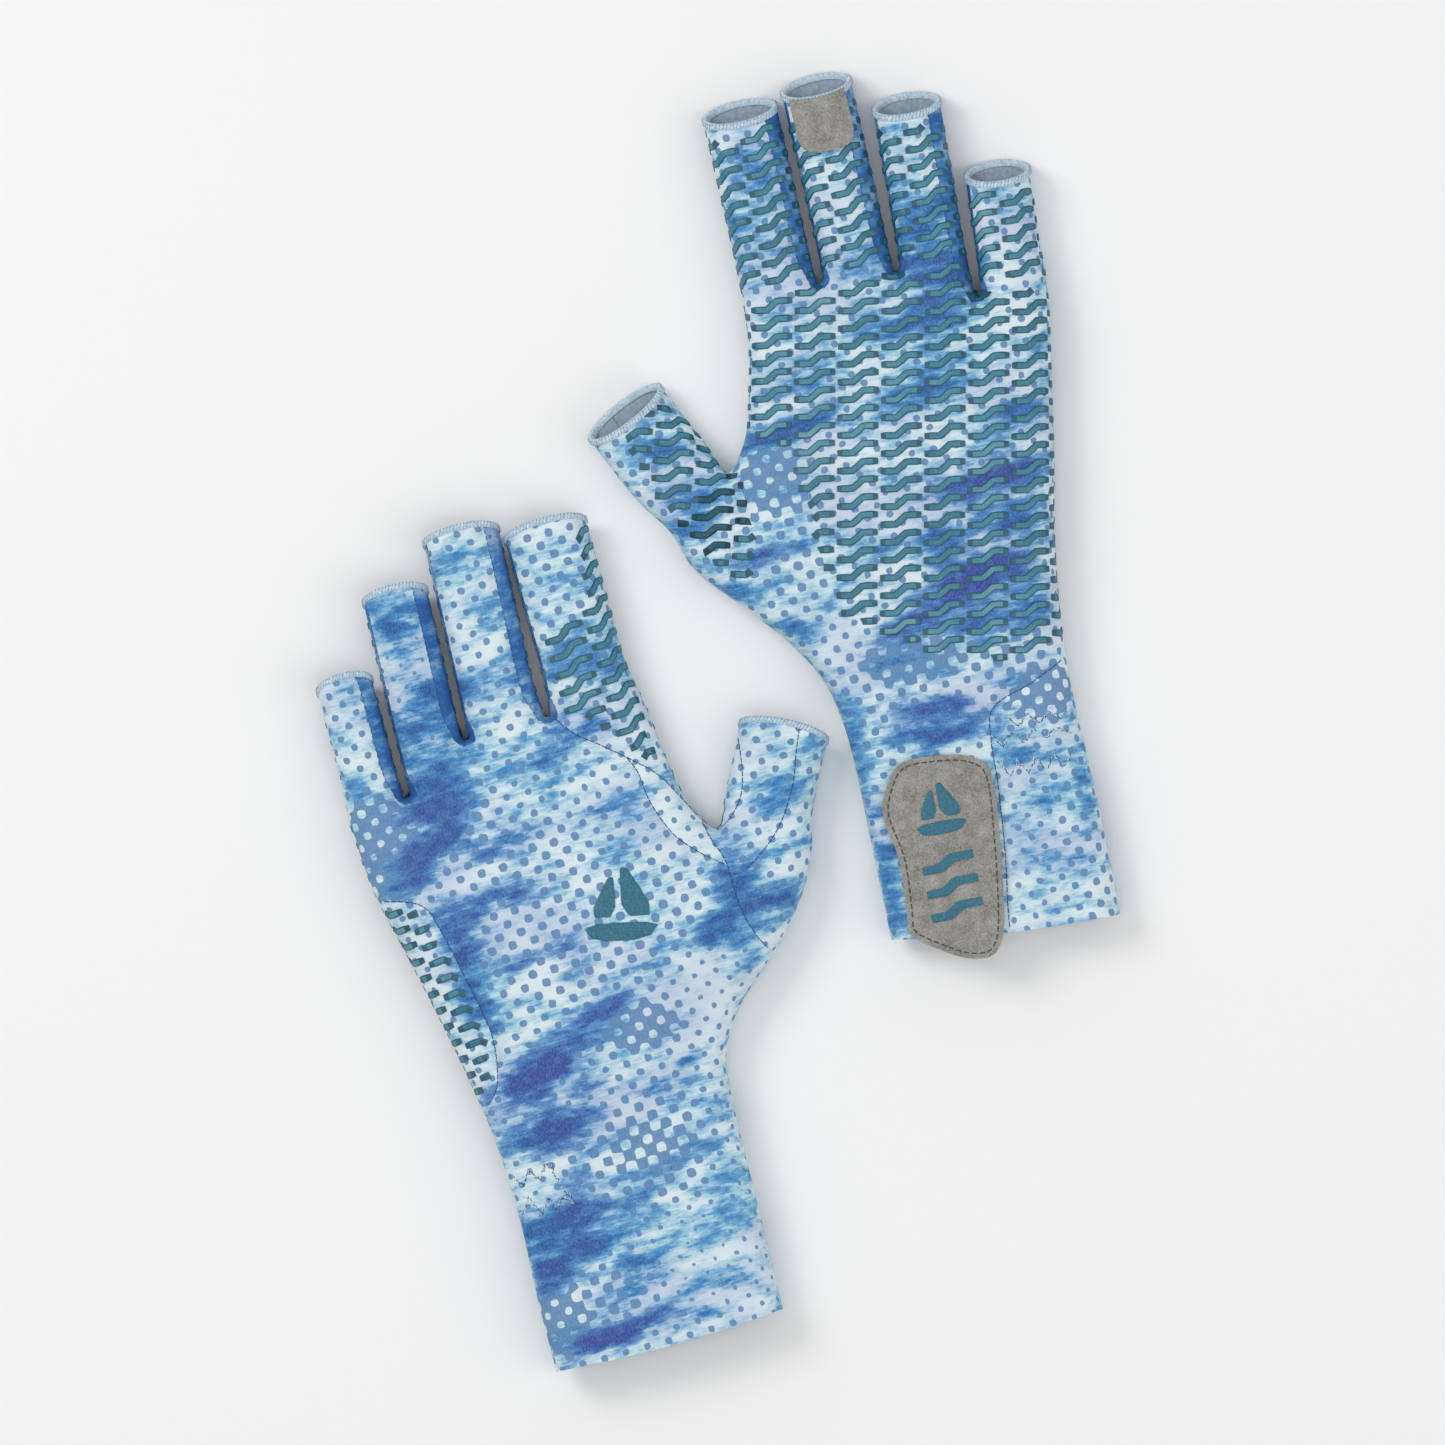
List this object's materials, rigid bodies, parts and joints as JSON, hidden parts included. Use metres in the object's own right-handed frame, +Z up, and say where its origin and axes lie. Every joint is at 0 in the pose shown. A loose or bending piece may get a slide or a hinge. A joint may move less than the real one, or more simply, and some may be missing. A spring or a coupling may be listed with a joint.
{
  "type": "sailing gloves",
  "caption": "Pair of printed knit gloves with open fingertips, silicone palm grip, hinged finger sleeves and a suede pull tab at each cuff, lying one back up and one palm up",
  "frame": {"origin": "on the table, under the middle of the pair's box", "axes": "+Z up from the table, +Y from the cuffs to the fingertips, +X to the right of a person looking along +Y"},
  "size_m": [0.2194, 0.3242, 0.0191],
  "materials": {
    "printed_knit": "fine matte knit with a blue watercolour print",
    "silicone_grip": "raised silicone bars, satin",
    "grey_suede": "brushed heather suede",
    "pale_edging": "overlocked thread",
    "dark_thread": "matte sewing thread",
    "elastic": "woven elastic tape",
    "raised_print": "thin raised print, satin"
  },
  "bodies": {
    "hand_a": {"a_back_panel": "printed_knit", "a_palm_panel": "printed_knit", "a_ulnar_side": "printed_knit", "a_thumb_side": "printed_knit", "a_wrist_elastic": "elastic", "a_palm_grip": "silicone_grip", "a_back_emblem": "raised_print"},
    "tab_a": {"a_pull_tab": "grey_suede", "a_tab_stitching": "dark_thread", "a_tab_print": "raised_print"},
    "index_a": {"a_index_wrap": "printed_knit", "a_index_palm": "printed_knit", "a_index_sides": "printed_knit", "a_index_edging": "pale_edging"},
    "middle_a": {"a_middle_back": "printed_knit", "a_middle_palm": "printed_knit", "a_middle_sides": "printed_knit", "a_middle_edging": "pale_edging", "a_middle_patch": "grey_suede"},
    "ring_a": {"a_ring_back": "printed_knit", "a_ring_palm": "printed_knit", "a_ring_sides": "printed_knit", "a_ring_edging": "pale_edging"},
    "little_a": {"a_little_back": "printed_knit", "a_little_palm": "printed_knit", "a_little_sides": "printed_knit", "a_little_edging": "pale_edging"},
    "thumb_a": {"a_thumb_back": "printed_knit", "a_thumb_palm": "printed_knit", "a_thumb_edging": "pale_edging"},
    "hand_b": {"b_back_panel": "printed_knit", "b_palm_panel": "printed_knit", "b_ulnar_side": "printed_knit", "b_thumb_side": "printed_knit", "b_wrist_elastic": "elastic", "b_palm_grip": "silicone_grip", "b_back_emblem": "raised_print"},
    "tab_b": {"b_pull_tab": "grey_suede", "b_tab_stitching": "dark_thread", "b_tab_print": "raised_print"},
    "index_b": {"b_index_wrap": "printed_knit", "b_index_palm": "printed_knit", "b_index_sides": "printed_knit", "b_index_edging": "pale_edging"},
    "middle_b": {"b_middle_back": "printed_knit", "b_middle_palm": "printed_knit", "b_middle_sides": "printed_knit", "b_middle_edging": "pale_edging", "b_middle_patch": "grey_suede"},
    "ring_b": {"b_ring_back": "printed_knit", "b_ring_palm": "printed_knit", "b_ring_sides": "printed_knit", "b_ring_edging": "pale_edging"},
    "little_b": {"b_little_back": "printed_knit", "b_little_palm": "printed_knit", "b_little_sides": "printed_knit", "b_little_edging": "pale_edging"},
    "thumb_b": {"b_thumb_back": "printed_knit", "b_thumb_palm": "printed_knit", "b_thumb_edging": "pale_edging"}
  },
  "joints": [
    {"name": "index_a_bend", "type": "hinge", "parent": "hand_a", "child": "index_a", "pos_m": [-0.03813, 0.01508, 0.0065], "axis": [-0.9992, -0.0393, 0], "range_deg": [-20, 90]},
    {"name": "middle_a_bend", "type": "hinge", "parent": "hand_a", "child": "middle_a", "pos_m": [-0.06272, 0.01511, 0.0065], "axis": [-1, 0.0079, 0], "range_deg": [-20, 90]},
    {"name": "ring_a_bend", "type": "hinge", "parent": "hand_a", "child": "ring_a", "pos_m": [-0.08351, 0.00879, 0.0065], "axis": [-1, 0.0026, 0], "range_deg": [-20, 90]},
    {"name": "little_a_bend", "type": "hinge", "parent": "hand_a", "child": "little_a", "pos_m": [-0.10131, 0.00159, 0.0065], "axis": [-0.9995, -0.0305, 0], "range_deg": [-20, 90]},
    {"name": "thumb_a_bend", "type": "hinge", "parent": "hand_a", "child": "thumb_a", "pos_m": [0.00014, -0.03, 0.0065], "axis": [-0.9081, 0.4187, 0], "range_deg": [-10, 60]},
    {"name": "tab_a_lift", "type": "hinge", "parent": "hand_a", "child": "tab_a", "pos_m": [-0.04808, -0.1086, 0.0014], "axis": [0.9992, 0.0393, 0], "range_deg": [0, 150]},
    {"name": "index_b_bend", "type": "hinge", "parent": "hand_b", "child": "index_b", "pos_m": [0.03674, 0.11288, 0.006], "axis": [1, -0.0079, 0], "range_deg": [-20, 90]},
    {"name": "middle_b_bend", "type": "hinge", "parent": "hand_b", "child": "middle_b", "pos_m": [0.05842, 0.11203, 0.006], "axis": [1, -0.0061, 0], "range_deg": [-20, 90]},
    {"name": "ring_b_bend", "type": "hinge", "parent": "hand_b", "child": "ring_b", "pos_m": [0.07866, 0.10573, 0.006], "axis": [0.9982, -0.0602, 0], "range_deg": [-20, 90]},
    {"name": "little_b_bend", "type": "hinge", "parent": "hand_b", "child": "little_b", "pos_m": [0.09854, 0.09994, 0.006], "axis": [0.9951, -0.0985, 0], "range_deg": [-20, 90]},
    {"name": "thumb_b_bend", "type": "hinge", "parent": "hand_b", "child": "thumb_b", "pos_m": [-0.00135, 0.0633, 0.006], "axis": [0.9081, 0.4187, 0], "range_deg": [-10, 60]},
    {"name": "tab_b_lift", "type": "hinge", "parent": "hand_b", "child": "tab_b", "pos_m": [0.0466, -0.0223, 0.014], "axis": [-0.9992, 0.0393, 0], "range_deg": [0, 150]},
    {"name": "glove_b_lift", "type": "slide", "parent": "hand_a", "child": "hand_b", "axis": [0, 0, 1], "range_m": [0, 0.12]}
  ]
}
